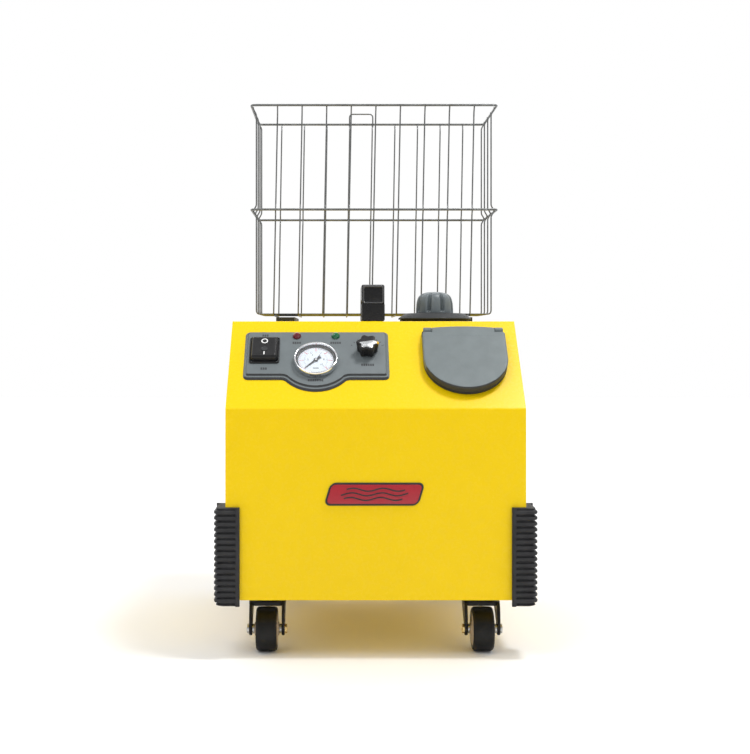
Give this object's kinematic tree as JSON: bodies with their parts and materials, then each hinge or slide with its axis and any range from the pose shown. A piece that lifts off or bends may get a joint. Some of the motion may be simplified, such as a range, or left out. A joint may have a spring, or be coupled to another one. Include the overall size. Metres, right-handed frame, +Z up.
{
  "type": "steam cleaner",
  "caption": "Wheeled steam generator with a folded sheet housing, sloped control panel, lidded hose socket, filler cap, carry handle and wire basket.",
  "frame": {"origin": "on the floor under the middle of the machine", "axes": "+Z up, the front faces -Y, +X to the right seen from the front"},
  "size_m": [0.366, 0.43, 0.6801],
  "materials": {
    "yellow_coat": "glossy yellow powder coat with a fine orange peel",
    "black_rubber": "matt charcoal rubber",
    "tread": "smooth black tread",
    "grey_plastic": "fine-grained grey plastic",
    "dark_plastic": "fine-grained dark grey plastic",
    "black_plastic": "semi-gloss black plastic",
    "black_coat": "black painted steel",
    "chrome": "polished chrome",
    "dial_white": "white printed dial",
    "clear_glass": "clear flat glass",
    "red_lens": "translucent red lens",
    "green_lens": "translucent green lens",
    "zinc": "zinc plated steel",
    "steel": "brushed stainless steel",
    "brass": "machined brass",
    "wire_coat": "dark grey coated steel wire"
  },
  "bodies": {
    "machine": {"front_cover": "yellow_coat", "side_panel_left": "yellow_coat", "side_panel_right": "yellow_coat", "rear_cover": "yellow_coat", "base_tray": "yellow_coat", "cord_gland": "black_plastic", "bumper_front_left": "black_rubber", "bumper_front_right": "black_rubber", "bumper_rear_left": "black_rubber", "bumper_rear_right": "black_rubber", "control_panel": "grey_plastic", "gauge_case": "chrome", "gauge_dial": "dial_white", "gauge_lens": "clear_glass", "lamp_red": "red_lens", "lamp_green": "green_lens", "switch_frame": "black_plastic", "steam_valve": "brass", "socket_housing": "dark_plastic", "steam_socket": "brass", "lid_pin": "steel", "filler_collar": "dark_plastic", "filler_neck": "steel", "carry_handle": "black_plastic", "basket_front": "wire_coat", "basket_back": "wire_coat", "basket_left": "wire_coat", "basket_right": "wire_coat", "basket_bottom": "wire_coat", "basket_rail_left": "black_plastic", "basket_rail_right": "black_plastic", "boiler": "steel", "heater": "zinc", "boiler_cradle": "zinc", "safety_valve": "brass", "pressure_switch": "black_plastic", "solenoid_valve": "brass", "steam_pipe": "brass", "caster_plate_front_left": "zinc", "caster_plate_front_right": "zinc", "caster_plate_rear_left": "zinc", "caster_plate_rear_right": "zinc"},
    "needle": {"gauge_needle": "black_coat"},
    "power_rocker": {"rocker": "black_plastic"},
    "valve_knob": {"steam_knob": "black_plastic"},
    "lid": {"socket_lid": "grey_plastic"},
    "plug": {"cap_plug": "brass"},
    "cap": {"cap_knob": "dark_plastic"},
    "fork_front_left": {"caster_fork_front_left": "black_coat", "caster_axle_front_left": "zinc"},
    "fork_front_right": {"caster_fork_front_right": "black_coat", "caster_axle_front_right": "zinc"},
    "fork_rear_left": {"caster_fork_rear_left": "black_coat", "caster_axle_rear_left": "zinc"},
    "fork_rear_right": {"caster_fork_rear_right": "black_coat", "caster_axle_rear_right": "zinc"},
    "wheel_front_left": {"caster_wheel_front_left": "tread"},
    "wheel_front_right": {"caster_wheel_front_right": "tread"},
    "wheel_rear_left": {"caster_wheel_rear_left": "tread"},
    "wheel_rear_right": {"caster_wheel_rear_right": "tread"}
  },
  "joints": [
    {"name": "gauge_reading", "type": "hinge", "parent": "machine", "child": "needle", "pos_m": [-0.0685, -0.16475, 0.33774], "axis": [0, 0.7071, -0.7071], "range_deg": [0, 270], "stiffness_Nm_per_rad": 0.0005},
    {"name": "power_rock", "type": "hinge", "parent": "machine", "child": "power_rocker", "pos_m": [-0.129, -0.14997, 0.34842], "axis": [1, 0, 0], "range_deg": [0, 16]},
    {"name": "steam_turn", "type": "hinge", "parent": "machine", "child": "valve_knob", "pos_m": [-0.0082, -0.1506, 0.34905], "axis": [0, -0.7071, 0.7071], "range_deg": [0, 270]},
    {"name": "lid_open", "type": "hinge", "parent": "machine", "child": "lid", "pos_m": [0.106, -0.13271, 0.37218], "axis": [-1, 0, 0], "range_deg": [0, 150]},
    {"name": "cap_lift", "type": "slide", "parent": "machine", "child": "plug", "axis": [0, 0, 1], "range_m": [0, 0.06]},
    {"name": "cap_turn", "type": "hinge", "parent": "plug", "child": "cap", "pos_m": [0.078, -0.055, 0.4], "axis": [0, 0, 1], "continuous": true},
    {"name": "swivel_front_left", "type": "hinge", "parent": "machine", "child": "fork_front_left", "pos_m": [-0.1253, -0.145, 0.055], "axis": [0, 0, 1], "continuous": true},
    {"name": "swivel_front_right", "type": "hinge", "parent": "machine", "child": "fork_front_right", "pos_m": [0.1253, -0.145, 0.055], "axis": [0, 0, 1], "continuous": true},
    {"name": "swivel_rear_left", "type": "hinge", "parent": "machine", "child": "fork_rear_left", "pos_m": [-0.1253, 0.145, 0.055], "axis": [0, 0, 1], "continuous": true},
    {"name": "swivel_rear_right", "type": "hinge", "parent": "machine", "child": "fork_rear_right", "pos_m": [0.1253, 0.145, 0.055], "axis": [0, 0, 1], "continuous": true},
    {"name": "roll_front_left", "type": "hinge", "parent": "fork_front_left", "child": "wheel_front_left", "pos_m": [-0.1253, -0.165, 0.0255], "axis": [1, 0, 0], "continuous": true},
    {"name": "roll_front_right", "type": "hinge", "parent": "fork_front_right", "child": "wheel_front_right", "pos_m": [0.1253, -0.165, 0.0255], "axis": [1, 0, 0], "continuous": true},
    {"name": "roll_rear_left", "type": "hinge", "parent": "fork_rear_left", "child": "wheel_rear_left", "pos_m": [-0.1253, 0.165, 0.0255], "axis": [1, 0, 0], "continuous": true},
    {"name": "roll_rear_right", "type": "hinge", "parent": "fork_rear_right", "child": "wheel_rear_right", "pos_m": [0.1253, 0.165, 0.0255], "axis": [1, 0, 0], "continuous": true}
  ]
}
